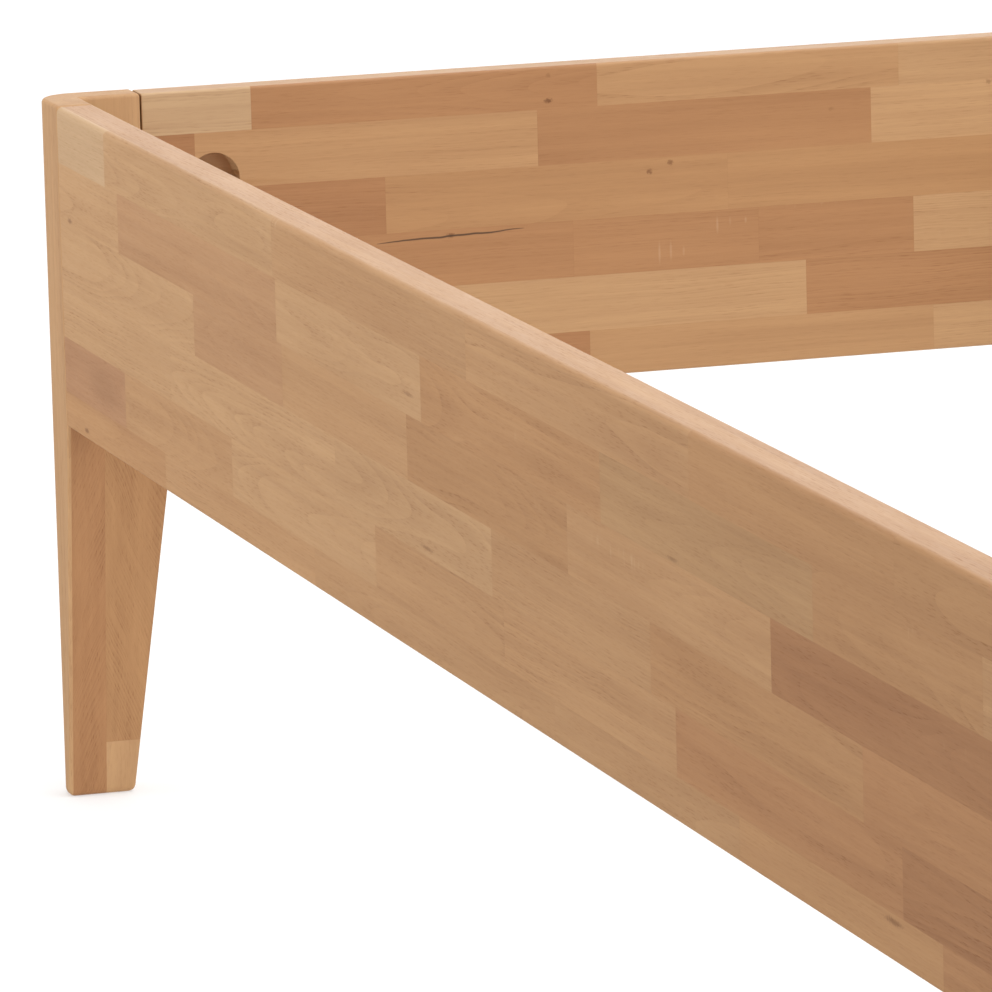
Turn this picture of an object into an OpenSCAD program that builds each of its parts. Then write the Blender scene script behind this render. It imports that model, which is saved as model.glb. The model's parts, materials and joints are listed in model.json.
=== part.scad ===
// Wooden bed frame: four corner legs, two side rails, two short rails, slat ledges and a centre beam.
// The origin is on the floor under the middle of the bed. X runs across, Y runs along, Z is up.

/* [Bed] */
// Width of the mattress the frame takes
mattress_w = 1400; // [900:100:1800]
// Length of the mattress the frame takes
mattress_l = 2000; // [1900:100:2200]
// Play left round the mattress, both sides together
mattress_play = 10; // [4:1:20]
// Height of the rails' top edge above the floor
rail_top = 463; // [430:1:500]

/* [Rails] */
// Thickness of the stave-glued boards
board_t = 25; // [24:0.5:30]
// Height of the rail boards
rail_h = 210; // [190:1:240]
// Radius of the rails' outer top arris
ease_outer = 4; // [1:0.5:6]
// Radius of the rails' other long arrises
ease_inner = 2; // [1:0.5:3]
// Open joint between a short rail and its legs
joint_gap = 1; // [0.5:0.5:3]

/* [Legs] */
// Depth of a leg along the side rail
leg_depth = 60; // [56:1:80]
// Length of a leg's flange along the short rail
flange_len = 65; // [58:0.5:72]
// Width of a leg under the short rail, before it tapers
leg_block_w = 73; // [66:1:90]
// Radius of a leg's outer upright corner
corner_r = 24; // [4:1:24]
// How much the two inner faces taper in, from the rails down to the floor
leg_taper = 28.5; // [0:0.5:30]
// How far a leg's top stands above the rails
leg_proud = 0.5; // [0:0.1:1]

/* [Corner fittings] */
// Distance from a rail's end to the middle of its bolt pockets
pocket_inset = 47.5; // [42:0.5:55]
// Diameter of the bolt pockets
pocket_d = 35; // [30:1:38]
// Depth of the bolt pockets
pocket_depth = 20; // [18:0.5:21]
// Distance from a rail's top or bottom edge to the nearer pocket's middle
pocket_edge = 59.5; // [55:0.5:65]
// Diameter of the bed bolts
bolt_d = 8; // [6:1:8]
// Length of the bed bolts under the head
bolt_len = 60; // [58:1:61]
// Diameter of the dowels
dowel_d = 8; // [6:1:10]
// Length of the dowels
dowel_len = 38; // [30:1:40]
// Distance from a rail's top or bottom edge to the nearer dowel
dowel_edge = 25; // [20:1:32]

/* [Slat support] */
// Depth of the ledge tops below the rails' top edge
ledge_drop = 100; // [80:1:110]
// Width of a slat ledge
ledge_w = 24; // [20:1:30]
// Height of a slat ledge
ledge_h = 40; // [30:1:44]
// Distance from a side rail's end to the ledge's end
ledge_inset = 85; // [75:1:150]
// Screws in each ledge
ledge_screw_count = 7; // [4:1:9]
// Width of the centre beam
beam_w = 28; // [24:1:34]
// Height of the centre beam
beam_h = 60; // [50:1:70]

/* [Centre leg] */
// Side of the square centre leg
center_leg_w = 40; // [34:1:50]
// Height of the centre leg's wooden end above the floor
center_leg_lift = 22; // [20:1:30]
// Diameter of the levelling spindle
spindle_d = 10; // [8:1:12]
// Diameter of the levelling pad
pad_d = 40; // [30:1:50]
// Height of the levelling pad
pad_h = 8; // [6:1:10]

/* [Hidden] */
$fn = 64;

LEFT = -1;
RIGHT = 1;
HEAD = 1;
FOOT = -1;

oak = [0.77, 0.58, 0.40];
pine = [0.86, 0.72, 0.50];
beech = [0.80, 0.62, 0.45];
zinc = [0.72, 0.73, 0.74];
black_plastic = [0.08, 0.08, 0.08];

// overshoot of a cutter past the face it opens
cut = 1;
// play left between a fitting and its bore, on the radius
fit_play = 0.05;

bed_w = mattress_w + mattress_play + 2 * board_t;
bed_l = mattress_l + mattress_play + 2 * board_t;
rail_z = rail_top - rail_h;
side_rail_l = bed_l - 2 * leg_depth;
short_rail_l = bed_w - 2 * (flange_len + joint_gap);

// heights of the two bolts and the two dowels of a joint
bolt_heights = [rail_z + pocket_edge, rail_top - pocket_edge];
dowel_heights = [rail_z + dowel_edge, rail_top - dowel_edge];

bolt_clear_r = bolt_d / 2 + 0.5;
bolt_head_d = 13;
bolt_head_h = 8;
bolt_key = 6;
bolt_key_depth = 4;
// distance from a pocket's middle to the flat side of its half-moon washer
washer_flat = 12;
washer_h = 16;
washer_lift = 1;
insert_r = 6;
insert_len = 24;
insert_bore_len = 27;
dowel_bore_len = dowel_len / 2 + 1.5;

ledge_top = rail_top - ledge_drop;
ledge_l = side_rail_l - 2 * ledge_inset;
// radius of the arrises of the ledges and the beam
ledge_ease = 2;
ledge_screw_len = 40;
ledge_screw_r = 2.25;
ledge_screw_head_r = 4.5;
ledge_screw_head_h = 2.6;
ledge_screw_end = 60;
ledge_screw_step = (ledge_l - 2 * ledge_screw_end) / (ledge_screw_count - 1);
ledge_screw_start = ledge_screw_end - ledge_l / 2;
ledge_screw_ys = [for (i = [0 : ledge_screw_count - 1]) ledge_screw_start + i * ledge_screw_step];

beam_play = 1;
hanger_t = 2;
hanger_reach = 40;
hanger_cheek_h = 48;
hanger_back_w = 72;
hanger_back_h = 66;
hanger_screw_x = 27;
hanger_screw_zs = [10, 54];
hanger_screw_r = 2;
hanger_screw_len = 18;
hanger_screw_head_r = 3.8;
hanger_screw_head_h = 2.4;
beam_l = mattress_l + mattress_play - 2 * (hanger_t + beam_play);
beam_bottom = ledge_top - beam_h;
cheek_x = beam_w / 2 + 0.5;

center_leg_ease = 3;
stud_len = 60;
stud_r = 4;
foot_insert_r = 7;
foot_insert_len = 20;
spindle_bore_top = 80;
spindle_top = 64;
spindle_seat = 4;
spindle_hex = 17;
spindle_hex_h = 5;

// placing

// puts children, drawn inwards from a corner of the bed's outline, at one of the four corners
module at_corner(side, end) {
    translate([side * bed_w / 2, end * bed_l / 2, 0])
        mirror([side > 0 ? 1 : 0, 0, 0])
            mirror([0, end > 0 ? 1 : 0, 0])
                children();
}

// joint of leg and short rail: x runs from the leg's end face into the rail, y towards the inside
module short_joint() {
    translate([flange_len, board_t / 2, 0])
        children();
}

// joint of leg and side rail, in the same terms
module side_joint() {
    translate([board_t / 2, leg_depth, 0])
        mirror([1, -1, 0])
            children();
}

// cylinder along +X from x = from to x = to
module rod_x(from, to, r) {
    translate([from, 0, 0])
        rotate([0, 90, 0])
            cylinder(h = to - from, r = r);
}

// boards

// what is cut from a square corner at the origin to round it
module corner_cut(r) {
    difference() {
        translate([-cut, -cut])
            square(r + cut);
        translate([r, r])
            circle(r);
    }
}

// rectangle with rounded corners: the radii go bottom left, bottom right, top right, top left
module eased_rect(w, h, radii) {
    difference() {
        square([w, h]);
        corner_cut(radii[0]);
        translate([w, 0])
            mirror([1, 0])
                corner_cut(radii[1]);
        translate([w, h])
            mirror([1, 0])
                mirror([0, 1])
                    corner_cut(radii[2]);
        translate([0, h])
            mirror([0, 1])
                corner_cut(radii[3]);
    }
}

// rail board along Y, its outer face at x = 0 and its underside at z = 0
module rail_board(length) {
    rotate([90, 0, 0])
        linear_extrude(length, center = true)
            eased_rect(board_t, rail_h, [ease_inner, ease_inner, ease_inner, ease_outer]);
}

// pockets, bolt holes and dowel holes of one rail end, in the joint's terms
module rail_end_cuts(gap) {
    for (z = bolt_heights)
        translate([gap, 0, z]) {
            rod_x(-cut, pocket_inset, bolt_clear_r);
            translate([pocket_inset, board_t / 2 - pocket_depth, 0])
                rotate([-90, 0, 0])
                    cylinder(h = pocket_depth + cut, d = pocket_d);
        }
    for (z = dowel_heights)
        translate([gap, 0, z])
            rod_x(-cut, dowel_bore_len, dowel_d / 2 + fit_play);
}

module side_rail(side) {
    color(oak)
        difference() {
            translate([side * bed_w / 2, 0, rail_z])
                mirror([side > 0 ? 1 : 0, 0, 0])
                    rail_board(side_rail_l);
            for (end = [HEAD, FOOT])
                at_corner(side, end)
                    side_joint()
                        rail_end_cuts(0);
            ledge_screw_places(side)
                rod_x(0, ledge_screw_len + cut, ledge_screw_r + fit_play);
        }
}

module short_rail(end) {
    color(oak)
        difference() {
            translate([0, end * bed_l / 2, rail_z])
                mirror([0, end < 0 ? 1 : 0, 0])
                    rotate([0, 0, -90])
                        rail_board(short_rail_l);
            for (side = [LEFT, RIGHT])
                at_corner(side, end)
                    short_joint()
                        rail_end_cuts(joint_gap);
            hanger_screw_places(end)
                rod_x(0, hanger_screw_len + cut, hanger_screw_r + fit_play);
        }
}

// legs

// quarter disc that rounds a leg's outer corner
module corner_quarter() {
    intersection() {
        square(corner_r);
        translate([corner_r, corner_r])
            circle(corner_r);
    }
}

// plan of the leg beside the rails: two arms as thick as the boards
module leg_arms_plan() {
    corner_quarter();
    translate([corner_r, 0])
        square([flange_len - corner_r, board_t]);
    translate([0, corner_r])
        square([board_t, leg_depth - corner_r]);
}

// plan of the solid block below the rails
module leg_block_plan() {
    corner_quarter();
    translate([corner_r, 0])
        square([leg_block_w - corner_r, leg_depth]);
    translate([0, corner_r])
        square([leg_block_w, leg_depth - corner_r]);
}

// upright wedge from x = 0 to a face that leans out from foot_w at the floor to top_w under the rails
module leaning_face(foot_w, top_w) {
    rotate([90, 0, 0])
        linear_extrude(2 * (leg_block_w + leg_depth), center = true)
            polygon([[-cut, 0], [foot_w, 0], [top_w, rail_z], [-cut, rail_z]]);
}

module leg_solid() {
    intersection() {
        linear_extrude(rail_z)
            leg_block_plan();
        leaning_face(leg_block_w - leg_taper, leg_block_w);
        mirror([1, -1, 0])
            leaning_face(leg_depth - leg_taper, leg_depth);
    }
    translate([0, 0, rail_z])
        linear_extrude(rail_h + leg_proud)
            leg_arms_plan();
}

// holes for the inserts and dowels in one end face of a leg, in the joint's terms
module leg_end_cuts() {
    for (z = bolt_heights)
        translate([0, 0, z])
            rod_x(-insert_bore_len, cut, insert_r + fit_play);
    for (z = dowel_heights)
        translate([0, 0, z])
            rod_x(-dowel_bore_len, cut, dowel_d / 2 + fit_play);
}

module leg(side, end) {
    color(oak)
        at_corner(side, end)
            difference() {
                leg_solid();
                short_joint()
                    leg_end_cuts();
                side_joint()
                    leg_end_cuts();
            }
}

// corner fittings

// socket-head bolt whose head seats on the flat of the half-moon washer
module bed_bolt(gap) {
    seat = gap + pocket_inset - washer_flat;
    difference() {
        union() {
            rod_x(seat - bolt_len, seat, bolt_d / 2);
            rod_x(seat, seat + bolt_head_h, bolt_head_d / 2);
        }
        translate([seat + bolt_head_h - bolt_key_depth, 0, 0])
            rotate([0, 90, 0])
                cylinder(h = bolt_key_depth + cut, d = bolt_key / cos(30), $fn = 6);
    }
}

module bolt_washer(gap) {
    difference() {
        translate([gap + pocket_inset, washer_lift - washer_h / 2, 0])
            rotate([-90, 0, 0])
                intersection() {
                    cylinder(h = washer_h, r = pocket_d / 2 - fit_play);
                    translate([-pocket_d, -pocket_d, 0])
                        cube([pocket_d - washer_flat, 2 * pocket_d, washer_h]);
                }
        rod_x(gap, gap + pocket_inset, bolt_clear_r);
    }
}

module threaded_insert() {
    difference() {
        rod_x(-insert_len, 0, insert_r);
        rod_x(-insert_len - cut, cut, bolt_d / 2 + fit_play);
    }
}

module corner_bolts(side, end) {
    color(zinc)
        at_corner(side, end)
            for (z = bolt_heights)
                translate([0, 0, z]) {
                    short_joint()
                        bed_bolt(joint_gap);
                    side_joint()
                        bed_bolt(0);
                }
}

module corner_washers(side, end) {
    color(zinc)
        at_corner(side, end)
            for (z = bolt_heights)
                translate([0, 0, z]) {
                    short_joint()
                        bolt_washer(joint_gap);
                    side_joint()
                        bolt_washer(0);
                }
}

module corner_inserts(side, end) {
    color(zinc)
        at_corner(side, end)
            for (z = bolt_heights)
                translate([0, 0, z]) {
                    short_joint()
                        threaded_insert();
                    side_joint()
                        threaded_insert();
                }
}

module corner_dowels(side, end) {
    color(beech)
        at_corner(side, end)
            for (z = dowel_heights)
                translate([0, 0, z]) {
                    short_joint()
                        rod_x((joint_gap - dowel_len) / 2, (joint_gap + dowel_len) / 2, dowel_d / 2);
                    side_joint()
                        rod_x(-dowel_len / 2, dowel_len / 2, dowel_d / 2);
                }
}

// slat ledges

// puts children, drawn along +X from the ledge's inner face, at each screw of one ledge
module ledge_screw_places(side) {
    for (y = ledge_screw_ys)
        translate([side * (bed_w / 2 - board_t - ledge_w), y, ledge_top - ledge_h / 2])
            mirror([side < 0 ? 1 : 0, 0, 0])
                children();
}

module countersunk_head(play) {
    rotate([0, 90, 0])
        cylinder(h = ledge_screw_head_h, r1 = ledge_screw_head_r + play, r2 = ledge_screw_r + play);
}

module slat_ledge(side) {
    color(pine)
        difference() {
            translate([side * (bed_w / 2 - board_t), 0, ledge_top - ledge_h])
                mirror([side > 0 ? 1 : 0, 0, 0])
                    rotate([90, 0, 0])
                        linear_extrude(ledge_l, center = true)
                            eased_rect(ledge_w, ledge_h, [ledge_ease, ledge_ease, ledge_ease, ledge_ease]);
            ledge_screw_places(side) {
                rod_x(-cut, ledge_w + cut, ledge_screw_r + fit_play);
                countersunk_head(fit_play);
            }
        }
}

module ledge_screws(side) {
    color(zinc)
        ledge_screw_places(side) {
            rod_x(ledge_screw_head_h, ledge_screw_len, ledge_screw_r);
            countersunk_head(0);
        }
}

// centre beam

// puts children, drawn along +X from the rail's inner face into it, at each screw of one hanger
module hanger_screw_places(end) {
    for (x = [-hanger_screw_x, hanger_screw_x], z = hanger_screw_zs)
        translate([x, end * (bed_l / 2 - board_t), beam_bottom + z])
            rotate([0, 0, end * 90])
                children();
}

module center_beam() {
    color(pine)
        difference() {
            translate([-beam_w / 2, 0, beam_bottom])
                rotate([90, 0, 0])
                    linear_extrude(beam_l, center = true)
                        eased_rect(beam_w, beam_h, [ledge_ease, ledge_ease, ledge_ease, ledge_ease]);
            translate([0, 0, beam_bottom - cut])
                cylinder(h = stud_len / 2 + 2 * cut, r = stud_r + fit_play);
        }
}

// folded steel seat that the end of the centre beam drops into
module beam_hanger(end) {
    color(zinc)
        translate([0, end * (bed_l / 2 - board_t), beam_bottom])
            mirror([0, end > 0 ? 1 : 0, 0])
                difference() {
                    union() {
                        translate([-hanger_back_w / 2, 0, -hanger_t])
                            cube([hanger_back_w, hanger_t, hanger_back_h]);
                        translate([-cheek_x - hanger_t, 0, -hanger_t])
                            cube([2 * (cheek_x + hanger_t), hanger_t + hanger_reach, hanger_t]);
                        for (x = [-cheek_x - hanger_t, cheek_x])
                            translate([x, 0, -hanger_t])
                                cube([hanger_t, hanger_t + hanger_reach, hanger_cheek_h]);
                    }
                    for (x = [-hanger_screw_x, hanger_screw_x], z = hanger_screw_zs)
                        translate([x, -cut, z])
                            rotate([-90, 0, 0])
                                cylinder(h = hanger_t + 2 * cut, r = hanger_screw_r + fit_play);
                }
}

module hanger_screws(end) {
    color(zinc)
        hanger_screw_places(end) {
            rod_x(-hanger_t, hanger_screw_len, hanger_screw_r);
            rod_x(-hanger_t - hanger_screw_head_h, -hanger_t, hanger_screw_head_r);
        }
}

// centre leg

module center_leg() {
    color(pine)
        difference() {
            translate([-center_leg_w / 2, -center_leg_w / 2, center_leg_lift])
                linear_extrude(beam_bottom - center_leg_lift)
                    eased_rect(center_leg_w, center_leg_w,
                        [center_leg_ease, center_leg_ease, center_leg_ease, center_leg_ease]);
            translate([0, 0, beam_bottom - stud_len / 2 - cut])
                cylinder(h = stud_len / 2 + 2 * cut, r = stud_r + fit_play);
            translate([0, 0, center_leg_lift - cut])
                cylinder(h = foot_insert_len + cut, r = foot_insert_r + fit_play);
            cylinder(h = spindle_bore_top, r = spindle_d / 2 + 0.5);
        }
}

module center_leg_stud() {
    color(zinc)
        translate([0, 0, beam_bottom - stud_len / 2])
            cylinder(h = stud_len, r = stud_r);
}

module foot_insert() {
    color(zinc)
        translate([0, 0, center_leg_lift])
            difference() {
                cylinder(h = foot_insert_len, r = foot_insert_r);
                translate([0, 0, -cut])
                    cylinder(h = foot_insert_len + 2 * cut, r = spindle_d / 2 + fit_play);
            }
}

module leveling_spindle() {
    color(zinc)
        union() {
            translate([0, 0, spindle_seat])
                cylinder(h = spindle_top - spindle_seat, r = spindle_d / 2);
            translate([0, 0, pad_h])
                cylinder(h = spindle_hex_h, d = spindle_hex / cos(30), $fn = 6);
        }
}

module leveling_pad() {
    color(black_plastic)
        difference() {
            cylinder(h = pad_h, r = pad_d / 2);
            translate([0, 0, spindle_seat])
                cylinder(h = pad_h, r = spindle_d / 2 + fit_play);
        }
}

leg(LEFT, HEAD);  // leg_head_left
leg(RIGHT, HEAD);  // leg_head_right
leg(LEFT, FOOT);  // leg_foot_left
leg(RIGHT, FOOT);  // leg_foot_right
side_rail(LEFT);  // side_rail_left
side_rail(RIGHT);  // side_rail_right
short_rail(HEAD);  // head_rail
short_rail(FOOT);  // foot_rail
slat_ledge(LEFT);  // slat_ledge_left
slat_ledge(RIGHT);  // slat_ledge_right
ledge_screws(LEFT);  // ledge_screws_left
ledge_screws(RIGHT);  // ledge_screws_right
corner_bolts(LEFT, HEAD);  // bed_bolts_head_left
corner_bolts(RIGHT, HEAD);  // bed_bolts_head_right
corner_bolts(LEFT, FOOT);  // bed_bolts_foot_left
corner_bolts(RIGHT, FOOT);  // bed_bolts_foot_right
corner_washers(LEFT, HEAD);  // bolt_washers_head_left
corner_washers(RIGHT, HEAD);  // bolt_washers_head_right
corner_washers(LEFT, FOOT);  // bolt_washers_foot_left
corner_washers(RIGHT, FOOT);  // bolt_washers_foot_right
corner_inserts(LEFT, HEAD);  // threaded_inserts_head_left
corner_inserts(RIGHT, HEAD);  // threaded_inserts_head_right
corner_inserts(LEFT, FOOT);  // threaded_inserts_foot_left
corner_inserts(RIGHT, FOOT);  // threaded_inserts_foot_right
corner_dowels(LEFT, HEAD);  // dowels_head_left
corner_dowels(RIGHT, HEAD);  // dowels_head_right
corner_dowels(LEFT, FOOT);  // dowels_foot_left
corner_dowels(RIGHT, FOOT);  // dowels_foot_right
center_beam();
beam_hanger(HEAD);  // beam_hanger_head
beam_hanger(FOOT);  // beam_hanger_foot
hanger_screws(HEAD);  // hanger_screws_head
hanger_screws(FOOT);  // hanger_screws_foot
center_leg();
center_leg_stud();
foot_insert();
leveling_spindle();
leveling_pad();
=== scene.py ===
"""Looks of the wooden bed frame: oak glued up from staves, planed pine, zinc-plated steel, and a studio."""

import json
import math
import random

import bmesh
import bpy
from mathutils import Matrix, Vector


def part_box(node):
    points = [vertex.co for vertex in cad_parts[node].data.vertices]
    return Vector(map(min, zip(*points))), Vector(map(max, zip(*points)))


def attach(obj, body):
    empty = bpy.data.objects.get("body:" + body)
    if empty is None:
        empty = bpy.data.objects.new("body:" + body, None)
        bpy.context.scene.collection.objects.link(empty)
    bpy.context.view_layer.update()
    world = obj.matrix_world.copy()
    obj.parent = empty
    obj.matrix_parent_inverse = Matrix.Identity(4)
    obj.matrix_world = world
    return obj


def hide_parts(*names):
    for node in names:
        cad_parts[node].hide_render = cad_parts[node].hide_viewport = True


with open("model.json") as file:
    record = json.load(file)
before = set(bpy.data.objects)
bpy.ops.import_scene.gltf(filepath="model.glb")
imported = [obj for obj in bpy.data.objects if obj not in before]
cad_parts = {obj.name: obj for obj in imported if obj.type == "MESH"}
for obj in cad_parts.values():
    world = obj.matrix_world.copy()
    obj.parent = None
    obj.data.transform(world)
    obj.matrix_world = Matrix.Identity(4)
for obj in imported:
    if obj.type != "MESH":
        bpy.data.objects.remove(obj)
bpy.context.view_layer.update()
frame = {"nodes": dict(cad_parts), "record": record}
nodes = frame["nodes"]

MM = 0.001
X, Y, Z = 0, 1, 2
CORNERS = ("head_left", "head_right", "foot_left", "foot_right")


# ---------------------------------------------------------------- boards

# Vertices closer than this, in mm, are one, and edges that turn by less than this are flat.
SAME_PLACE = 0.005
FLAT_ANGLE = math.radians(1)
# Edges that turn by more than this are arrises.
ARRIS_ANGLE = math.radians(35)
# The widest easing, in mm. Each arris has its own share of it.
WIDEST_EASE = 5.0
EASE_STEPS = 5
# The weight that makes shading follow the largest face at a corner.
LARGEST_FACE = 100


def clean_copy(node):
    """A CAD node's mesh as a bmesh with joined vertices and whole flat faces."""
    bm = bmesh.new()
    bm.from_mesh(nodes[node].data)
    bmesh.ops.remove_doubles(bm, verts=bm.verts, dist=SAME_PLACE * MM)
    bmesh.ops.dissolve_limit(bm, angle_limit=FLAT_ANGLE, verts=bm.verts, edges=bm.edges)
    return bm


def new_piece(name, bm):
    mesh = bpy.data.meshes.new(name)
    bm.to_mesh(mesh)
    bm.free()
    piece = bpy.data.objects.new(name, mesh)
    bpy.context.scene.collection.objects.link(piece)
    return piece


def apply_modifiers(piece):
    bpy.context.view_layer.update()
    graph = bpy.context.evaluated_depsgraph_get()
    mesh = bpy.data.meshes.new_from_object(piece.evaluated_get(graph), depsgraph=graph)
    piece.modifiers.clear()
    piece.data = mesh


def eased_piece(name, node, ease_at):
    """A copy of a CAD node with rounded arrises. ease_at(edge) is the easing of an arris in mm."""
    bm = clean_copy(node)
    share = bm.edges.layers.float.new("bevel_weight_edge")
    for edge in bm.edges:
        if len(edge.link_faces) == 2 and edge.is_convex and edge.calc_face_angle() > ARRIS_ANGLE:
            edge[share] = ease_at(edge) / WIDEST_EASE
    piece = new_piece(name, bm)
    ease = piece.modifiers.new("ease", "BEVEL")
    ease.limit_method = "WEIGHT"
    ease.offset_type = "OFFSET"
    ease.width = WIDEST_EASE * MM
    ease.segments = EASE_STEPS
    apply_modifiers(piece)
    return piece


def smooth_flats(piece):
    """Smooth shading that keeps the flat faces flat, and true arrises sharp."""
    mesh = piece.data
    mesh.shade_smooth()
    mesh.set_sharp_from_angle(angle=ARRIS_ANGLE)
    weighted = piece.modifiers.new("flats", "WEIGHTED_NORMAL")
    weighted.keep_sharp = True
    weighted.weight = LARGEST_FACE


# ---------------------------------------------------------------- staves

# Base colours of the staves, as linear reflectance: oak from pale to dark, duller oak, then pine and beech.
TONES = {
    "p": (0.575, 0.372, 0.200),
    "l": (0.550, 0.318, 0.148),
    "m": (0.518, 0.284, 0.125),
    "t": (0.490, 0.256, 0.106),
    "r": (0.462, 0.226, 0.092),
    "d": (0.425, 0.200, 0.080),
    "q": (0.500, 0.268, 0.122),
    "k": (0.450, 0.228, 0.106),
    "o": (0.480, 0.270, 0.118),
    "n": (0.690, 0.500, 0.290),
    "b": (0.600, 0.400, 0.240),
}

# How much staves of one tone differ, as a share.
TONE_SPREAD = 0.03
# How long the log is that the staves are cut from, in m.
LOG_LENGTH = 40
# How bold a stave's rings are.
FIGURE = (0.3, 1.0)
# How far the log's heart is beside and behind a stave, in mm: quarter sawn or flat sawn.
QUARTER_BESIDE, QUARTER_BEHIND = (70, 140), 25
FLAT_BESIDE, FLAT_BEHIND = 8, (28, 60)
# How the rings lean to a stave's length, as a slope: hardly, or enough to cut the face in arches.
SLIGHT_LEAN = 0.02
ARCH_LEAN = (0.012, 0.035)

# Points closer than this to a glue line, in mm, are on it.
NEAR = 0.01
# Points closer than this to a cut, in m, aren't cut off.
CUT_NEAR = 1e-6


class Stave:
    """One glued lamella: where it lies in its board, its tone, and how it was cut from the log."""

    def __init__(self, along, across, code, rng):
        self.along, self.across = along, across
        shade = 1 + rng.uniform(-TONE_SPREAD, TONE_SPREAD)
        self.tone = [c * shade for c in TONES[code.lower()]]
        self.start = rng.uniform(0, LOG_LENGTH)
        self.figure = rng.uniform(*FIGURE)
        side = rng.choice((-1, 1))

        def within(most):
            return rng.uniform(-most, most)

        if code.isupper():  # quarter sawn: the rings run straight along the face
            self.heart = (side * rng.uniform(*QUARTER_BESIDE), within(QUARTER_BEHIND))
            self.lean = (within(SLIGHT_LEAN), within(SLIGHT_LEAN))
        else:  # flat sawn: the rings cut the face in long arches
            self.heart = (within(FLAT_BESIDE), side * rng.uniform(*FLAT_BEHIND))
            self.lean = (within(SLIGHT_LEAN), rng.choice((-1, 1)) * rng.uniform(*ARCH_LEAN))

    def middle(self):
        return [sum(self.along) / 2, sum(self.across) / 2]

    def half(self):
        return [(self.along[1] - self.along[0]) / 2, (self.across[1] - self.across[0]) / 2]


def lay_staves(low, high, rows, rng):
    """Staves for rows of (breadth, joints, codes), laid from the high side down. Sizes in mm."""
    staves = []
    top = high[1]
    for number, (breadth, joints, codes) in enumerate(rows):
        bottom = low[1] if number == len(rows) - 1 else top - breadth
        ends = [low[0], *joints, high[0]]
        for start, end, code in zip(ends[:-1], ends[1:], codes, strict=True):
            staves.append(Stave((start, end), (bottom, top), code, rng))
        top = bottom
    return staves


def cut_between(bm, axis, place, other, span):
    """Cuts the faces at that place along an axis, if they lie within the span along the other axis. In mm."""
    normal = Vector([float(i == axis) for i in range(3)])
    crossed = []
    for face in bm.faces:
        here = [v.co[axis] / MM for v in face.verts]
        aside = [v.co[other] / MM for v in face.verts]
        straddles = min(here) < place - NEAR and max(here) > place + NEAR
        if straddles and min(aside) < span[1] - NEAR and max(aside) > span[0] + NEAR:
            crossed.append(face)
    geometry = [*{v for f in crossed for v in f.verts}, *{e for f in crossed for e in f.edges}, *crossed]
    if crossed:
        bmesh.ops.bisect_plane(bm, geom=geometry, dist=CUT_NEAR, plane_co=normal * place * MM,
                               plane_no=normal)


def lay_out(piece, axes, staves):
    """Cuts the piece's faces along the glue lines and stores where each corner is in its stave's log."""
    along, across, through = axes
    bm = bmesh.new()
    bm.from_mesh(piece.data)
    for stave in staves:
        for line in stave.across:
            cut_between(bm, across, line, along, stave.along)
    for stave in staves:
        for line in stave.along:
            cut_between(bm, along, line, across, stave.across)
    grain = bm.loops.layers.float_vector.new("grain")
    place = bm.loops.layers.float_vector.new("place")
    size = bm.loops.layers.float_vector.new("size")
    lean = bm.loops.layers.float_vector.new("lean")
    tone = bm.loops.layers.float_vector.new("tone")
    depth = sum(v.co[through] for v in bm.verts) / len(bm.verts) / MM
    for face in bm.faces:
        centre = face.calc_center_median() / MM
        stave = min(staves, key=lambda s: outside(s, centre[along], centre[across]))
        middle, half = stave.middle(), stave.half()
        end_grain = abs(face.normal[along]) ** 2
        for loop in face.loops:
            co = loop.vert.co / MM
            u, v, t = co[along] - middle[0], co[across] - middle[1], co[through] - depth
            loop[grain] = [c * MM for c in (stave.start / MM + u, v + stave.heart[0], t + stave.heart[1])]
            loop[lean] = (*stave.lean, 0)
            loop[place] = (u * MM, v * MM, end_grain)
            loop[size] = (half[0] * MM, half[1] * MM, stave.figure)
            loop[tone] = stave.tone
    bm.to_mesh(piece.data)
    bm.free()


def outside(stave, u, v):
    """How far a point is outside a stave, or less than 0 inside it."""
    middle, half = stave.middle(), stave.half()
    return max(abs(u - middle[0]) - half[0], abs(v - middle[1]) - half[1])


# ---------------------------------------------------------------- shader nodes


# Blender's noise keeps close to 0.5: this spreads it to about -1 to 1.
NOISE_GAIN = 4.0


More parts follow.
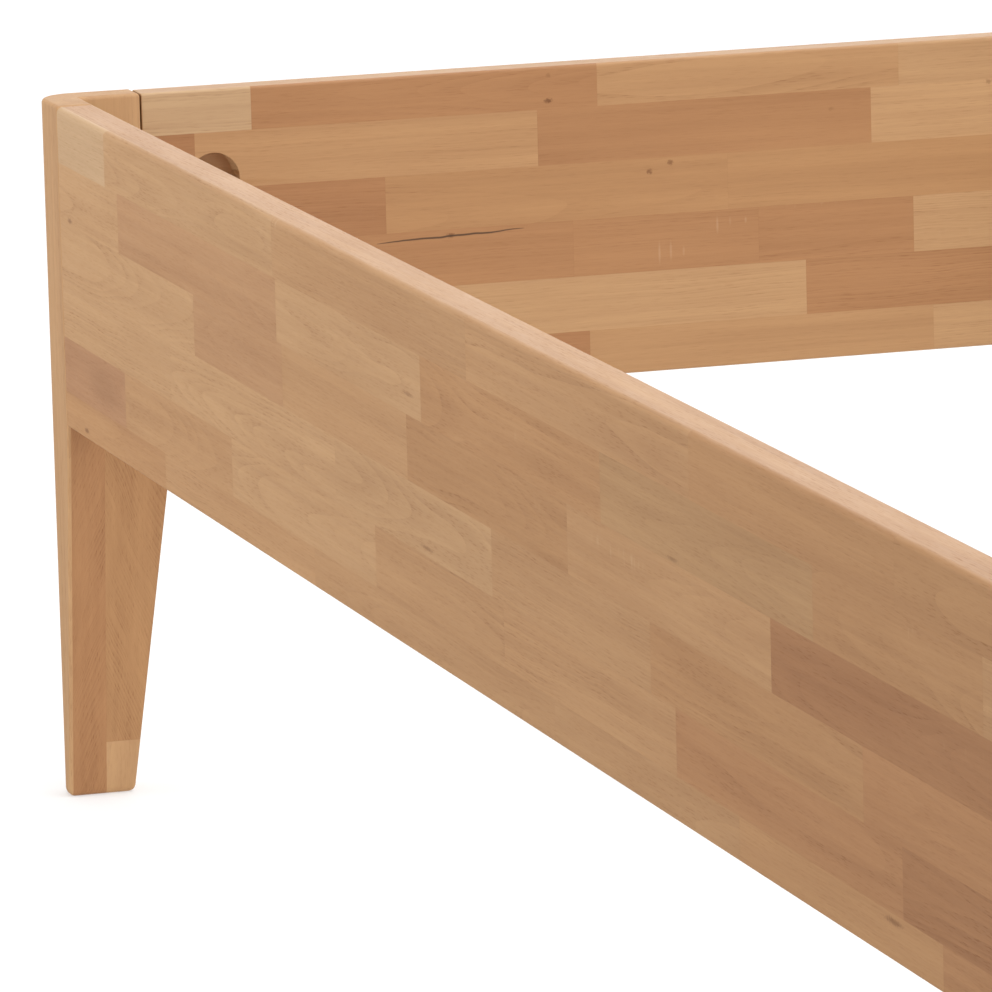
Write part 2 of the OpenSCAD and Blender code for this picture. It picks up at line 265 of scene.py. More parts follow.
class Shader:
    """Short ways to add and join nodes of one material. An input is a socket or a plain value."""

    def __init__(self, name):
        self.material = bpy.data.materials.new(name)
        self.material.use_nodes = True
        self.tree = self.material.node_tree
        self.tree.nodes.clear()
        self.out = self.tree.nodes.new("ShaderNodeOutputMaterial")
        self.surface = self.tree.nodes.new("ShaderNodeBsdfPrincipled")
        self.tree.links.new(self.surface.outputs[0], self.out.inputs["Surface"])

    def node(self, kind, inputs=(), **settings):
        made = self.tree.nodes.new(kind)
        for key, value in settings.items():
            setattr(made, key, value)
        for key, value in dict(inputs).items():
            self.put(made.inputs[key], value)
        return made

    def put(self, socket, value):
        if isinstance(value, bpy.types.NodeSocket):
            self.tree.links.new(value, socket)
        else:
            socket.default_value = value

    def attribute(self, name):
        return self.node("ShaderNodeAttribute", attribute_name=name).outputs["Vector"]

    def math(self, operation, *values, clamp=False):
        return self.node("ShaderNodeMath", enumerate(values), operation=operation, use_clamp=clamp).outputs[0]

    def total(self, *terms):
        """The sum of (value, weight) pairs."""
        made = 0.0
        for value, weight in terms:
            made = self.math("MULTIPLY_ADD", value, weight, made)
        return made

    def vector(self, operation, *values):
        made = self.node("ShaderNodeVectorMath", enumerate(values), operation=operation)
        return made.outputs["Value" if operation in ("LENGTH", "DISTANCE") else "Vector"]

    def split(self, vector):
        return self.node("ShaderNodeSeparateXYZ", {"Vector": vector}).outputs

    def noise(self, where, stretch, detail=2.0, roughness=0.5):
        """Noise from about -1 to 1. stretch is how many features there are in a metre along each axis."""
        scaled = self.vector("MULTIPLY", where, stretch)
        made = self.node("ShaderNodeTexNoise", {"Vector": scaled, "Scale": 1.0, "Detail": detail,
                                                "Roughness": roughness})
        return self.math("MULTIPLY_ADD", made.outputs["Fac"], NOISE_GAIN, -NOISE_GAIN / 2)

    def cells(self, where, stretch):
        """A pattern of cells. stretch is how many cells there are in a metre along each axis."""
        scaled = self.vector("MULTIPLY", where, stretch)
        return self.node("ShaderNodeTexVoronoi", {"Vector": scaled, "Scale": 1.0}).outputs

    def place(self):
        """Where a point is in the shared frame, in metres."""
        return self.node("ShaderNodeTexCoord").outputs["Object"]

    def step(self, value, low, high, start=0.0, end=1.0):
        """Rises smoothly from start to end as value goes from low to high."""
        inputs = {"Value": value, "From Min": low, "From Max": high, "To Min": start, "To Max": end}
        return self.node("ShaderNodeMapRange", inputs, interpolation_type="SMOOTHSTEP").outputs["Result"]

    def blend(self, factor, a, b, mode="MIX"):
        made = self.node("ShaderNodeMix", data_type="RGBA", blend_type=mode)
        for socket, value in zip((made.inputs[0], made.inputs[6], made.inputs[7]), (factor, a, b)):
            self.put(socket, value)
        return made.outputs[2]

    def bump(self, height, depth):
        """Relief of that depth, in metres."""
        made = self.node("ShaderNodeBump", {"Height": height, "Distance": depth, "Strength": 1.0})
        self.put(self.surface.inputs["Normal"], made.outputs[0])


# ---------------------------------------------------------------- wood

# How many features each pattern has in a metre, along the grain and across it both ways.
GRAIN = {
    "wave": (9, 34, 34),
    "wander": (3, 10, 10),
    "strong": (9, 60, 60),
    "vessels": (80, 1000, 1000),
    "fibre": (30, 900, 900),
    "streak": (3.5, 190, 190),
    "band": (2.5, 55, 55),
    "cloud": (7, 30, 30),
    "ray": (240, 45, 45),
    "ray_patch": (5, 40, 40),
}
# How far the rings are bent, in mm: in ripples and in slow bends.
WAVE_DEPTH, WANDER_DEPTH = 2.4, 5.0
# Good and bad years: how many in a metre from the heart, and how far they shift the rings.
YEARS = (160, 1, 1)
YEAR_SHIFT = 0.9
# The dark early wood: how fast it fades and where in the ring it ends.
EARLY_FADE = 1.5
EARLY_END = (0.50, 1.0)
# How much a ring's dark line comes and goes along the grain.
LINE_NOISE, LINE_STRENGTH = (-0.9, 1.0), (0.15, 1.3)
# The edge of a pore, and how deep pores are in the early wood and everywhere.
PORE_EDGE = (0.14, 0.42)
PORES_EARLY, PORES_ALL = 0.8, 0.2
# A glue line at a stave's end and side: half its breadth in mm and its strength.
END_GLUE, SIDE_GLUE = (0.5, 0.12), (0.3, 0.05)
# What darkens the wood, besides the strengths given for each wood.
GLUE_DARK, FIBRE_DARK, END_DARK, ALL_DARK = 0.6, 0.035, -0.02, 0.12
CLOUD_SHARE = 0.5
# The darkest wood against its stave's tone.
DARK_TINT = (0.50, 0.36, 0.26, 1)
# Where the noise makes ray flecks, and patches of them.
RAY_EDGE, RAY_PATCH_EDGE = (0.35, 0.9), (0.75, 1.3)
RAY_PALE = (0.75, 0.58, 0.40, 1)
KNOT_BROWN = (0.200, 0.075, 0.022, 1)
CHECK_BROWN = (0.075, 0.034, 0.014, 1)
# Roughness of the oiled surface, and what pores, clouds, fibres and end grain add to it.
OILED = 0.50
PORE_ROUGH, CLOUD_ROUGH, FIBRE_ROUGH, END_ROUGH = 0.20, 0.03, 0.04, 0.10
OIL_GLOSS = 0.42
# Relief: shares of the depth in mm.
PORE_RELIEF, FIBRE_RELIEF, GLUE_RELIEF, WOOD_RELIEF = -0.4, 0.08, -0.3, 0.10

# The faces with marks: the head rail's inner face along Y, and the left side rail's outer face along X.
HEAD_FACE, SIDE_FACE = 1005, -730
# Small knots: place, breadth and length in mm, and strength.
KNOTS = (
    ((-386, HEAD_FACE, 440), 4.0, 6, 0.9),
    ((-386, HEAD_FACE, 457), 3.0, 4, 0.3),
    ((-302, HEAD_FACE, 393), 3.6, 5, 0.7),
    ((-317, HEAD_FACE, 388), 3.4, 5, 0.7),
    ((-188, HEAD_FACE, 422), 3.0, 4, 0.3),
    ((-76, HEAD_FACE, 433), 3.4, 5, 0.45),
    ((-456, HEAD_FACE, 355), 3.4, 5, 0.8),
    ((SIDE_FACE, 175, 401), 2.4, 20, 0.45),
    ((SIDE_FACE, 145, 318), 2.6, 24, 0.5),
    ((SIDE_FACE, -300, 391), 2.4, 20, 0.45),
    ((SIDE_FACE, -631, 273), 3.4, 26, 0.6),
    ((SIDE_FACE, 944, 392), 3.6, 12, 0.6),
    ((SIDE_FACE, 918, 259), 3.2, 12, 0.7),
    ((SIDE_FACE, 870, 294), 26.0, 87, 0.22),
)
# Pale ray flecks: place, height in mm and strength.
FLECKS = (
    ((-311, HEAD_FACE, 333), 17, 0.14),
    ((-303, HEAD_FACE, 334), 15, 0.13),
    ((-294, HEAD_FACE, 333), 8, 0.10),
    ((-270, HEAD_FACE, 349), 13, 0.15),
    ((-261, HEAD_FACE, 351), 7, 0.08),
    ((-250, HEAD_FACE, 351), 5, 0.13),
)
FLECK_BREADTH = 2.0
# How fine and how large the ragged edge of a knot is: features per metre, and its share of the breadth.
RAGGED, RAGGED_SHARE = (700, 700, 700), 0.2
# Where knots and flecks fade out, as shares of their breadth or height.
KNOT_FADE = (0.15, 0.65)
FLECK_FADE = (0.1, 0.6)
# Drying checks: both ends in mm and the greatest breadth.
CHECKS = (((-508, HEAD_FACE, 353), (-404, HEAD_FACE, 356), 1.3),)
# How a check wanders: bends per metre, and how far they go in mm.
CHECK_BENDS, CHECK_SWAY = (45, 1, 1), 0.7
# Where its edge fades and how deep it goes into the board, in mm, and how dark it is.
CHECK_EDGE, CHECK_DEPTH, CHECK_DARK = (-0.3, 0.25), (2, 4), 0.9
# How slender its tips are.
CHECK_TIP = 0.02


def wood(name, ring, ring_line, pores, streaks, rays=0.0, knots=(), flecks=(), checks=()):
    """Solid wood in the log's own coordinates. ring is the ring breadth in mm, and the rest are strengths."""
    s = Shader(name)
    grain = s.attribute("grain")
    place = s.split(s.attribute("place"))
    size = s.split(s.attribute("size"))
    tone = s.attribute("tone")

    wave = s.noise(grain, GRAIN["wave"], 2.0)
    wander = s.noise(grain, GRAIN["wander"], 1.0)
    _, v, t = s.split(grain)
    lean = s.split(s.attribute("lean"))
    v = s.math("MULTIPLY_ADD", wave, WAVE_DEPTH * MM, s.math("MULTIPLY_ADD", lean[0], place[0], v))
    t = s.math("MULTIPLY_ADD", wander, WANDER_DEPTH * MM, s.math("MULTIPLY_ADD", lean[1], place[0], t))
    radius = s.math("SQRT", s.total((s.math("MULTIPLY", v, v), 1.0), (s.math("MULTIPLY", t, t), 1.0)))
    years = s.noise(s.node("ShaderNodeCombineXYZ", {"X": radius}).outputs[0], YEARS, 1.0)
    phase = s.total((radius, 1 / (ring * MM)), (years, YEAR_SHIFT))
    turn = s.math("FRACT", phase)
    early = s.math("POWER", s.math("SUBTRACT", 1.0, turn), EARLY_FADE)
    line = s.math("MULTIPLY", early, s.step(turn, *EARLY_END, 1.0, 0.0))
    strong = s.noise(grain, GRAIN["strong"], 2.0)
    line = s.math("MULTIPLY", line, s.step(strong, *LINE_NOISE, *LINE_STRENGTH))
    line = s.math("MULTIPLY", line, size[2])

    vessels = s.cells(grain, GRAIN["vessels"])
    pore = s.step(vessels["Distance"], *PORE_EDGE, 1.0, 0.0)
    pore = s.math("MULTIPLY", pore, s.math("MULTIPLY_ADD", line, PORES_EARLY, PORES_ALL))
    fibre = s.noise(grain, GRAIN["fibre"], 2.0)
    streak = s.noise(grain, GRAIN["streak"], 3.0, 0.65)
    band = s.noise(grain, GRAIN["band"], 2.0)
    cloud = s.noise(grain, GRAIN["cloud"], 2.0)

    to_end = s.math("SUBTRACT", size[0], s.math("ABSOLUTE", place[0]))
    to_side = s.math("SUBTRACT", size[1], s.math("ABSOLUTE", place[1]))
    glue = [s.step(distance, 0.0, breadth * MM, strength, 0.0)
            for distance, (breadth, strength) in ((to_end, END_GLUE), (to_side, SIDE_GLUE))]
    glue = s.math("MAXIMUM", *glue)

    dark = s.total((line, ring_line), (pore, pores), (streak, streaks), (band, streaks),
                   (cloud, streaks * CLOUD_SHARE), (fibre, FIBRE_DARK), (glue, GLUE_DARK),
                   (place[2], END_DARK))
    dark = s.math("ADD", dark, ALL_DARK, clamp=True)
    colour = s.blend(dark, tone, s.blend(1.0, tone, DARK_TINT, "MULTIPLY"))
    if rays:
        fleck = s.noise(grain, GRAIN["ray"], 1.0)
        patch = s.noise(grain, GRAIN["ray_patch"], 1.0)
        fleck = s.math("MULTIPLY", s.step(fleck, *RAY_EDGE), s.step(patch, *RAY_PATCH_EDGE))
        colour = s.blend(s.math("MULTIPLY", fleck, rays), colour, RAY_PALE)
    where = s.place()
    for spot in knots:
        colour = s.blend(knot(s, where, *spot), colour, KNOT_BROWN)
    for spot in flecks:
        colour = s.blend(fleck_at(s, where, *spot), colour, RAY_PALE)
    for ends in checks:
        colour = s.blend(check(s, where, *ends), colour, CHECK_BROWN)

    s.put(s.surface.inputs["Base Color"], colour)
    rough = s.total((pore, PORE_ROUGH), (cloud, CLOUD_ROUGH), (fibre, FIBRE_ROUGH), (place[2], END_ROUGH))
    s.put(s.surface.inputs["Roughness"], s.math("ADD", rough, OILED, clamp=True))
    s.surface.inputs["Specular IOR Level"].default_value = OIL_GLOSS
    s.bump(s.total((pore, PORE_RELIEF), (fibre, FIBRE_RELIEF), (glue, GLUE_RELIEF)), WOOD_RELIEF * MM)
    return s.material


def knot(s, where, place, across, length, strength):
    """A small knot of that breadth and length along the boards, in mm."""
    apart = s.vector("SUBTRACT", where, [c * MM for c in place])
    squeeze = (across / length, 1, 1) if place[Y] == HEAD_FACE else (1, across / length, 1)
    ragged = s.noise(where, RAGGED, 1.0)
    far = s.vector("LENGTH", s.vector("MULTIPLY", apart, squeeze))
    far = s.math("MULTIPLY_ADD", ragged, RAGGED_SHARE * across * MM, far)
    return s.step(far, *(share * across * MM for share in KNOT_FADE), strength, 0.0)


def fleck_at(s, where, place, height, strength):
    """A ray fleck on the head rail: a pale line across the grain, that high in mm."""
    apart = s.vector("SUBTRACT", where, [c * MM for c in place])
    far = s.vector("LENGTH", s.vector("MULTIPLY", apart, (height / FLECK_BREADTH, 1, 1)))
    return s.step(far, *(share * height * MM for share in FLECK_FADE), strength, 0.0)


def check(s, where, start, end, breadth):
    """A drying check along X, tapering to both ends. Sizes in mm."""
    x, y, z = s.split(where)
    along = s.math("DIVIDE", s.math("SUBTRACT", x, start[X] * MM), (end[X] - start[X]) * MM)
    middle = s.total((along, (end[Z] - start[Z]) * MM), (s.noise(where, CHECK_BENDS, 2.0), CHECK_SWAY * MM),
                     (1.0, start[Z] * MM))
    swell = s.math("MULTIPLY", along, s.math("SUBTRACT", 1.0, along))
    half = s.math("MULTIPLY", s.math("SQRT", swell, clamp=True), breadth * MM)
    off = s.math("SUBTRACT", s.math("ABSOLUTE", s.math("SUBTRACT", z, middle)), half)
    deep = s.math("ABSOLUTE", s.math("SUBTRACT", y, start[Y] * MM))
    deep = s.step(deep, *(depth * MM for depth in CHECK_DEPTH), 1.0, 0.0)
    edge = s.step(off, *(place * MM for place in CHECK_EDGE), CHECK_DARK, 0.0)
    return s.math("MULTIPLY", s.math("MULTIPLY", edge, s.step(swell, 0, CHECK_TIP)), deep)


oak = wood("solid_oak", ring=2.4, ring_line=0.20, pores=0.32, streaks=0.11, rays=0.16, knots=KNOTS,
           flecks=FLECKS, checks=CHECKS)
pine = wood("planed_pine", ring=3.6, ring_line=0.22, pores=0.0, streaks=0.03)
beech = wood("dowel_beech", ring=2.0, ring_line=0.08, pores=0.12, streaks=0.03, rays=0.3)


# ---------------------------------------------------------------- metal and plastic

# Fine patterns on metal and plastic: features per metre.
ZINC_HAZE, ZINC_SCRATCH = (160, 160, 160), (2200, 2200, 500)
SPANGLE, SHEET_HAZE = (170, 170, 170), (90, 90, 90)
GRIT, MOULD_HAZE = (1800, 1800, 1800), (60, 60, 60)
# Roughness, and how much the patterns change it.
ZINC_ROUGH, ZINC_HAZY, ZINC_SCRATCHED = 0.32, 0.06, 0.03
SHEET_ROUGH, SHEET_SPANGLED, SHEET_HAZY = 0.34, 0.16, 0.04
PLASTIC_ROUGH, PLASTIC_UNEVEN = 0.52, 0.05
# Relief in mm.
ZINC_RELIEF, SHEET_RELIEF, PLASTIC_RELIEF = 0.02, 0.03, 0.05
ZINC_BRIGHT, ZINC_DULL = (0.72, 0.73, 0.74, 1), (0.60, 0.60, 0.57, 1)
SHEET_DARK, SHEET_PALE = (0.50, 0.51, 0.53, 1), (0.70, 0.71, 0.72, 1)
PLASTIC_DARK, PLASTIC_PALE = (0.018, 0.018, 0.019, 1), (0.032, 0.031, 0.030, 1)


def zinc():
    """Bright zinc plating with a soft haze and faint wear."""
    s = Shader("zinc_steel")
    where = s.place()
    haze = s.noise(where, ZINC_HAZE, 3.0)
    scratch = s.noise(where, ZINC_SCRATCH, 1.0)
    s.put(s.surface.inputs["Base Color"], s.blend(s.step(haze, -1, 1), ZINC_BRIGHT, ZINC_DULL))
    s.surface.inputs["Metallic"].default_value = 1.0
    rough = s.total((haze, ZINC_HAZY), (scratch, ZINC_SCRATCHED))
    s.put(s.surface.inputs["Roughness"], s.math("ADD", rough, ZINC_ROUGH))
    s.bump(s.total((scratch, 0.5), (haze, 0.5)), ZINC_RELIEF * MM)
    return s.material


def galvanised():
    """Hot-dip galvanised sheet with its spangle."""
    s = Shader("hanger_steel")
    where = s.place()
    spangle = s.split(s.cells(where, SPANGLE)["Color"])[0]
    haze = s.noise(where, SHEET_HAZE, 3.0)
    s.put(s.surface.inputs["Base Color"], s.blend(spangle, SHEET_DARK, SHEET_PALE))
    s.surface.inputs["Metallic"].default_value = 1.0
    rough = s.total((spangle, SHEET_SPANGLED), (haze, SHEET_HAZY))
    s.put(s.surface.inputs["Roughness"], s.math("ADD", rough, SHEET_ROUGH))
    s.bump(haze, SHEET_RELIEF * MM)
    return s.material


def plastic():
    """Black moulded plastic with a fine spark-eroded texture."""
    s = Shader("pad_plastic")
    where = s.place()
    grit = s.noise(where, GRIT, 2.0)
    haze = s.noise(where, MOULD_HAZE, 2.0)
    s.put(s.surface.inputs["Base Color"], s.blend(s.step(haze, -1, 1), PLASTIC_DARK, PLASTIC_PALE))
    rough = s.total((grit, PLASTIC_UNEVEN), (haze, PLASTIC_UNEVEN))
    s.put(s.surface.inputs["Roughness"], s.math("ADD", rough, PLASTIC_ROUGH))
    s.bump(grit, PLASTIC_RELIEF * MM)
    return s.material


METAL = {"zinc_steel": zinc(), "hanger_steel": galvanised(), "pad_plastic": plastic()}


# ---------------------------------------------------------------- the pieces


def box_mm(node):
    low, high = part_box(node)
    return low / MM, high / MM


def edge_mm(edge):
    a, b = (v.co / MM for v in edge.verts)
    return a, b


# Points closer than this, in mm, are on the side of a piece's box.
AT_SIDE = 0.1


def finish_piece(piece, node, material):
    piece.data.materials.clear()
    piece.data.materials.append(material)
    smooth_flats(piece)
    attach(piece, "bed_frame")
    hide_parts(node)


# Rows of the head rail, from the top: breadth, butt joints along X, and a code for each stave.
# A capital letter is a quarter-sawn stave, a small one a flat-sawn one; the letter is its tone.
HEAD_ROWS = [
    (28.5, (-590, -352, -140, 180, 470), "PrmLlT"),
    (37.5, (-629, -394, -160, 210, 520), "DMrLtM"),
    (38, (-500, -262, 60, 340), "DtTrL"),
    (38, (-371, -241, -131, 190, 430), "RRrLmR"),
    (37, (-540, -208, 90, 400), "mLRtM"),
    (31, (-620, -361, -118, 240, 560), "tDMLrT"),
]

# Rows of the left side rail, from the top, with butt joints along Y.
SIDE_ROWS = [
    (36, (-640, -330, 60, 455, 850), "tTmMlP"),
    (38, (-760, -520, -180, 150, 450, 820), "Mtotlql"),
    (38, (-820, -455, -120, 180, 440, 640), "mdmtMql"),
    (38, (-590, -260, 20, 330, 700), "rtMllL"),
    (36, (-845, -645, -300, 0, 250, 560, 815), "LdrMmlmk"),
    (24, (-700, -400, -90, 380, 720), "rTmmMt"),
]


# A board whose pattern nothing fixes, in mm: its rows, the last with what is left, and its staves.
FIRST_ROW = (22, 36)
OTHER_ROWS = (38, 38, 38, 37, 0)
FIRST_STAVE, STAVE, LAST_STAVE = (60, 320), (210, 400), 330
ANY_CODES = "ttmmllrpdTTMMLLRPR"


def any_rows(length, rng):
    """Rows of staves for a board whose pattern nothing fixes."""
    rows = []
    for breadth in (rng.uniform(*FIRST_ROW), *OTHER_ROWS):
        joints = [-length / 2 + rng.uniform(*FIRST_STAVE)]
        while joints[-1] < length / 2 - LAST_STAVE:
            joints.append(joints[-1] + rng.uniform(*STAVE))
        codes = "".join(rng.choice(ANY_CODES) for _ in range(len(joints) + 1))
        rows.append((breadth, [round(j) for j in joints], codes))
    return rows


# The easing of a rail's ends, and how close to its outline that is, in mm: beyond the CAD's round arrises.
END_EASE = 0.8
RIM = 4.5


def rail(node, axes, rows, seed):
    rng = random.Random(seed)
    low, high = box_mm(node)
    piece = eased_piece("oak_" + node, node, lambda edge: rail_ease(edge, low, high, axes))
    along, across, _ = axes
    rows = rows or any_rows(high[along] - low[along], rng)
    staves = lay_staves((low[along], low[across]), (high[along], high[across]), rows, rng)
    lay_out(piece, axes, staves)
    finish_piece(piece, node, oak)


def rail_ease(edge, low, high, axes):
    """Rails already have round long arrises: what is left is the edge of each end, around its bores too."""
    along, across, through = axes
    a, b = edge_mm(edge)
    at_end = any(max(abs(p[along] - end) for p in (a, b)) < AT_SIDE for end in (low[along], high[along]))
    on_rim = all(any(min(p[i] - low[i], high[i] - p[i]) < RIM for i in (across, through)) for p in (a, b))
    return END_EASE if at_end and on_rim else 0


rail("head_rail", (X, Z, Y), HEAD_ROWS, seed=11)
rail("foot_rail", (X, Z, Y), None, seed=12)
rail("side_rail_left", (Y, Z, X), SIDE_ROWS, seed=13)
rail("side_rail_right", (Y, Z, X), None, seed=14)


# A leg's outer lamella is as thick as a rail. Its outer face gets a thin paler layer that is painted light:
# the face lit from the left is made paler than the front face of the same lamella. In mm.
LEG_LAMELLA = 25
LEG_PAINTED_LIGHT_DEPTH = 2.4
# The inner lamella has a joint just above the floor.
FOOT_JOINT = 36
# The slanting rings below the rails: how far beside and behind the heart is, in mm, how they lean, and how
# bold they are.
LEG_HEART, LEG_BEHIND = 170, 10
LEG_LEAN, LEG_BACK_LEAN = 0.42, 0.05
LEG_FIGURE = 1.15
# An edge that rises this far is one of a leg's long upright arrises.
UPRIGHT = 60
# How much each kind of arris on a leg is rounded, in mm.
TOP_EASE, FOOT_EASE, UPRIGHT_EASE, FLANGE_EASE = 2.6, 4.5, 1.8, 1.0
# How near to the top or the floor an arris is to count as there, in mm.
AT_TOP, AT_FLOOR = 1, 0.5
# The legs' flanges end next to the head rail's ends, above its lower edge, each with this to spare, in mm.
FLANGE_SPARE, FOOT_SPARE = 2, 1
FLANGE_END = box_mm("head_rail")[1].x + FLANGE_SPARE
RAIL_FOOT = box_mm("head_rail")[0].z - FOOT_SPARE
LEG_LEVELS = {"floor": 0, "joint": FOOT_JOINT, "rail": RAIL_FOOT, "top": box_mm("leg_head_left")[1].z}
LEG_STAVES = (
    # The skin's pale tone is painted light: the lit outer face of the lamella, made paler than its shaded
    # front face.
    ("lit_skin", "floor", "top", "l"),
    ("shell", "floor", "rail", "r"),
    ("shell", "rail", "top", "l"),
    ("core", "floor", "joint", "l"),
    ("core", "joint", "rail", "t"),
    ("core", "rail", "top", "l"),
)


def leg(node, seed):
    rng = random.Random(seed)
    low, high = box_mm(node)
    outer = low[X] if low[X] < 0 else high[X]
    side = 1 if outer < 0 else -1
    piece = eased_piece("oak_" + node, node, lambda edge: leg_ease(edge, high))
    inner = high[X] if side > 0 else low[X]
    # The skin is a thin band at the outer face that carries painted light, not a different wood.
    lit_skin, glue = outer + side * LEG_PAINTED_LIGHT_DEPTH, outer + side * LEG_LAMELLA
    bands = {"lit_skin": (outer, lit_skin), "shell": (lit_skin, glue), "core": (glue, inner)}
    staves = []
    for band, start, end, code in LEG_STAVES:
        stave = Stave((LEG_LEVELS[start], LEG_LEVELS[end]), sorted(bands[band]), code, rng)
        if end == "rail" and band != "lit_skin":  # the two lamellas' rings meet in a point at their glue line
            stave.heart = (side * LEG_HEART, LEG_BEHIND)
            stave.lean = (side * LEG_LEAN * (1 if band == "core" else -1), LEG_BACK_LEAN)
            stave.figure = LEG_FIGURE
        staves.append(stave)
    lay_out(piece, (Z, X, Y), staves)
    finish_piece(piece, node, oak)


def leg_ease(edge, high):
    """How far each arris of a leg is rounded, in mm."""
    a, b = edge_mm(edge)
    if min(a.z, b.z) > high.z - AT_TOP:
        return TOP_EASE
    if max(a.z, b.z) < AT_FLOOR:
        return FOOT_EASE
    if abs(a.z - b.z) < UPRIGHT:
        return 0
    at_flange_end = abs(a.x) < FLANGE_END and abs(b.x) < FLANGE_END and min(a.z, b.z) > RAIL_FOOT
    return FLANGE_EASE if at_flange_end else UPRIGHT_EASE


for number, corner in enumerate(CORNERS):
    leg("leg_" + corner, seed=20 + number)


# The easing of the plain boards' arrises, in mm.
PLAIN_EASE = 1.5


def board_ease(edge, low, high):
    """Only the outer arrises of a plain board are eased, not the rims of its bores."""
    ends = edge_mm(edge)
    sides = [i for limit in (low, high) for i in (X, Y, Z)
             if max(abs(p[i] - limit[i]) for p in ends) < AT_SIDE]
    return PLAIN_EASE if len(sides) >= 2 else 0


def plain_board(node, axes, code, material, slot, seed):
    """A board in one piece, such as a ledge or the beam."""
    rng = random.Random(seed)
    low, high = box_mm(node)
    piece = eased_piece(slot + "_" + node, node, lambda edge: board_ease(edge, low, high))
    along, across, _ = axes
    stave = Stave((low[along], high[along]), (low[across], high[across]), code, rng)
    lay_out(piece, axes, [stave])
    finish_piece(piece, node, material)


for number, node in enumerate(("slat_ledge_left", "slat_ledge_right", "center_beam")):
    plain_board(node, (Y, Z, X), "n", pine, "planed_pine", seed=40 + number)
plain_board("center_leg", (Z, X, Y), "n", pine, "planed_pine", seed=44)

# Metal and plastic nodes keep their own shape and get a material.
for part in frame["record"]["subparts"]:
    if part["material_slot"] in METAL:
        mesh = nodes[part["node"]].data
        mesh.materials.clear()
        mesh.materials.append(METAL[part["material_slot"]])
for corner in CORNERS:
    plain_board("dowels_" + corner, (Y, Z, X), "b", beech, "dowel_beech", seed=50)


# ---------------------------------------------------------------- studio

FLOOR_SIZE = 80.0
# Light of the white sweep near the horizon, and of the dimmer room above it.
HORIZON_LIGHT = 1.0
SKY_LIGHT = 0.50
# Light from below the horizon, which only reflections see.
GROUND_LIGHT = 0.35
# How much brighter the backdrop beyond the head end is.
BACKDROP_LIGHT = 1.2
# How dim the room is on the left, as a share.
LEFT_SHARE = 0.5
# Where the sweep fades out, in degrees above the horizon.
HORIZON_BAND = (12, 25)
# Directions on the unit sphere between which the room changes: where the backdrop ends, where the ground
# begins, where the dim left is, and where the backdrop lies along Y and X.
BACKDROP_BAND = (0.35, 0.60)
GROUND_BAND = (-0.15, -0.05)
LEFT_BAND = (-0.6, 0.1)
BEYOND_BAND, ASIDE_BAND = (0.6, 0.9), (-0.10, 0.20)
# The floor: its colour and its own light.
FLOOR_GREY = (0.55, 0.55, 0.55, 1)
FLOOR_LIGHT = 0.45
# Broad soft lights: the direction to each, its strength and its spread in degrees.
SUNS = {"overhead": ((0.25, 0.0, 1.0), 1.95, 60), "front": ((0.1, -1.0, 0.45), 1.02, 60)}
# A softbox beside the head-left corner, in m and W.
SIDE_LAMP = {"place": (-3.4, 1.5, 1.3), "target": (-0.73, 0.4, 0.35), "size": 1.4, "power": 36}


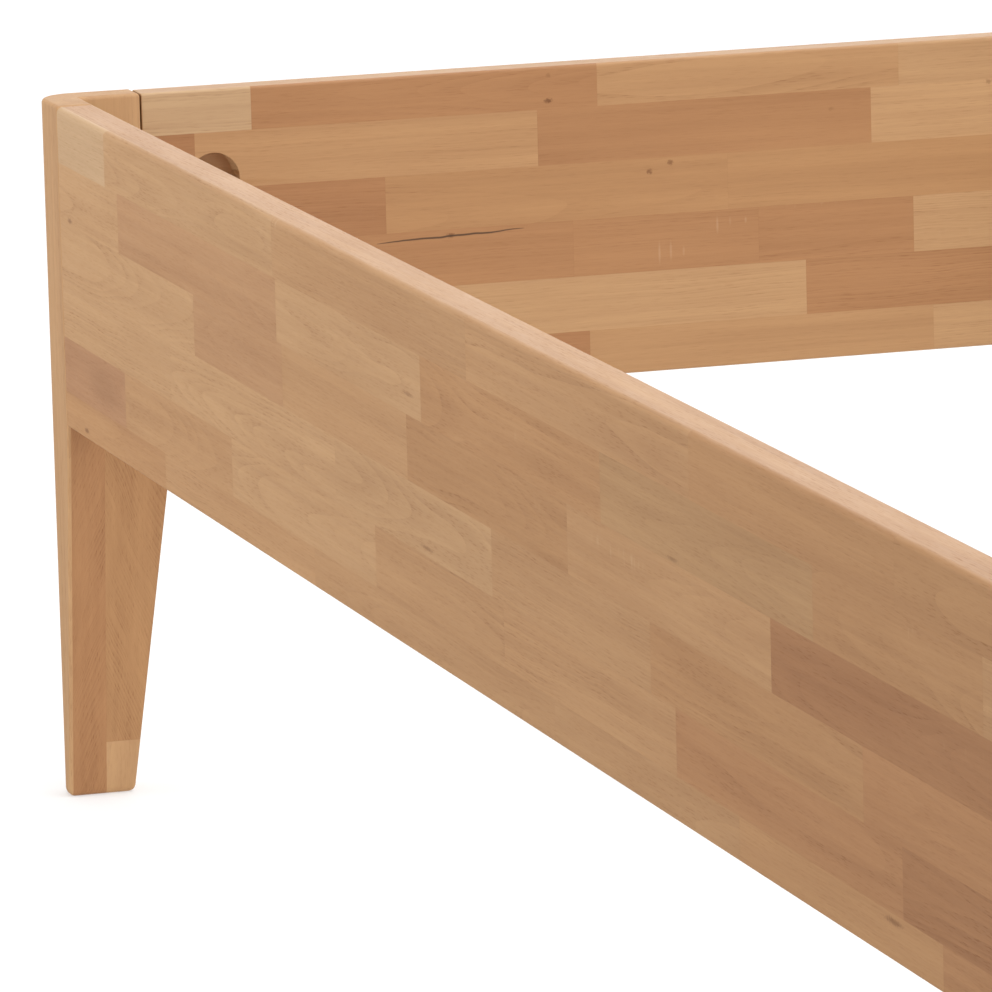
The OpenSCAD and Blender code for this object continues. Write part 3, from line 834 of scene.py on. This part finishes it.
def studio():
    world = bpy.data.worlds.new("studio")
    bpy.context.scene.world = world
    world.use_nodes = True
    tree = world.node_tree
    towards = tree.nodes.new("ShaderNodeSeparateXYZ")
    tree.links.new(tree.nodes.new("ShaderNodeTexCoord").outputs["Generated"], towards.inputs[0])

    def ramp(axis, low, high, start, end):
        fade = tree.nodes.new("ShaderNodeMapRange")
        for name, value in (("From Min", low), ("From Max", high), ("To Min", start), ("To Max", end)):
            fade.inputs[name].default_value = value
        tree.links.new(towards.outputs[axis], fade.inputs["Value"])
        return fade.outputs["Result"]

    def join(operation, *sockets):
        made = tree.nodes.new("ShaderNodeMath")
        made.operation = operation
        for number, socket in enumerate(sockets):
            tree.links.new(socket, made.inputs[number])
        return made.outputs[0]

    band = [math.sin(math.radians(angle)) for angle in HORIZON_BAND]
    above = join("MULTIPLY", ramp("Z", *band, HORIZON_LIGHT, SKY_LIGHT), ramp("X", *LEFT_BAND, LEFT_SHARE, 1))
    room = join("MULTIPLY", above, ramp("Z", *GROUND_BAND, GROUND_LIGHT, 1))
    beyond = join("MULTIPLY", ramp("Y", *BEYOND_BAND, 0, 1), ramp("X", *ASIDE_BAND, 0, 1))
    glow = join("MULTIPLY", beyond, ramp("Z", *BACKDROP_BAND, BACKDROP_LIGHT, 0))
    light = join("ADD", room, join("MULTIPLY", glow, ramp("Z", *GROUND_BAND, 0, 1)))
    tree.links.new(light, tree.nodes["Background"].inputs["Strength"])
    tree.nodes["Background"].inputs["Color"].default_value = (1, 1, 1, 1)

    mesh = bpy.data.meshes.new("floor")
    half = FLOOR_SIZE / 2
    corners = [(-half, -half, 0), (half, -half, 0), (half, half, 0), (-half, half, 0)]
    mesh.from_pydata(corners, [], [(0, 1, 2, 3)])
    floor = bpy.data.objects.new("floor", mesh)
    bpy.context.scene.collection.objects.link(floor)
    paint = bpy.data.materials.new("floor_white")
    paint.use_nodes = True
    surface = paint.node_tree.nodes["Principled BSDF"]
    surface.inputs["Base Color"].default_value = FLOOR_GREY
    surface.inputs["Roughness"].default_value = 1.0
    surface.inputs["Specular IOR Level"].default_value = 0.0
    surface.inputs["Emission Color"].default_value = (1, 1, 1, 1)
    surface.inputs["Emission Strength"].default_value = FLOOR_LIGHT
    mesh.materials.append(paint)
    floor.visible_glossy = False

    for name, (towards_light, strength, spread) in SUNS.items():
        add_sun(name, towards_light, strength, spread)
    add_lamp("side", **SIDE_LAMP)


def add_sun(name, towards, strength, spread):
    """A soft light from far away, as from a large softbox seen at that angle."""
    lamp = bpy.data.lights.new(name, "SUN")
    lamp.energy = strength
    lamp.angle = math.radians(spread)
    holder = bpy.data.objects.new(name, lamp)
    bpy.context.scene.collection.objects.link(holder)
    holder.rotation_euler = Vector(towards).to_track_quat("Z", "Y").to_euler()


def add_lamp(name, place, target, size, power):
    lamp = bpy.data.lights.new(name, "AREA")
    lamp.shape = "SQUARE"
    lamp.size = size
    lamp.energy = power
    holder = bpy.data.objects.new(name, lamp)
    bpy.context.scene.collection.objects.link(holder)
    holder.location = place
    holder.visible_glossy = False
    holder.rotation_euler = (Vector(target) - Vector(place)).to_track_quat("-Z", "Y").to_euler()


# The camera: where it is in m, its yaw, pitch down and roll in degrees, and its lens in mm.
CAMERA_PLACE = (-2.0824, -4.4720, 1.2430)
CAMERA_TURN = (16.795, 10.552, 1.503)
SENSOR, LENS = 36, 316.99
# The nearest and farthest that it sees, in m.
SEES = (0.05, 200)


def camera():
    """A long lens from beyond the foot end, on the left, looking a little down at the head-left corner."""
    yaw, pitch, roll = (math.radians(angle) for angle in CAMERA_TURN)
    forward = Vector((math.sin(yaw) * math.cos(pitch), math.cos(yaw) * math.cos(pitch), -math.sin(pitch)))
    level = Vector((math.cos(yaw), -math.sin(yaw), 0))
    down = forward.cross(level)
    right = level * math.cos(roll) + down * math.sin(roll)
    down = down * math.cos(roll) - level * math.sin(roll)
    turn = Matrix((right, -down, -forward)).transposed().to_4x4()
    lens = bpy.data.cameras.new("camera")
    lens.sensor_width = SENSOR
    lens.lens = LENS
    lens.clip_start, lens.clip_end = SEES
    holder = bpy.data.objects.new("camera", lens)
    bpy.context.scene.collection.objects.link(holder)
    holder.matrix_world = Matrix.Translation(CAMERA_PLACE) @ turn
    bpy.context.scene.camera = holder


studio()
camera()
bpy.context.scene.view_settings.view_transform = "Standard"
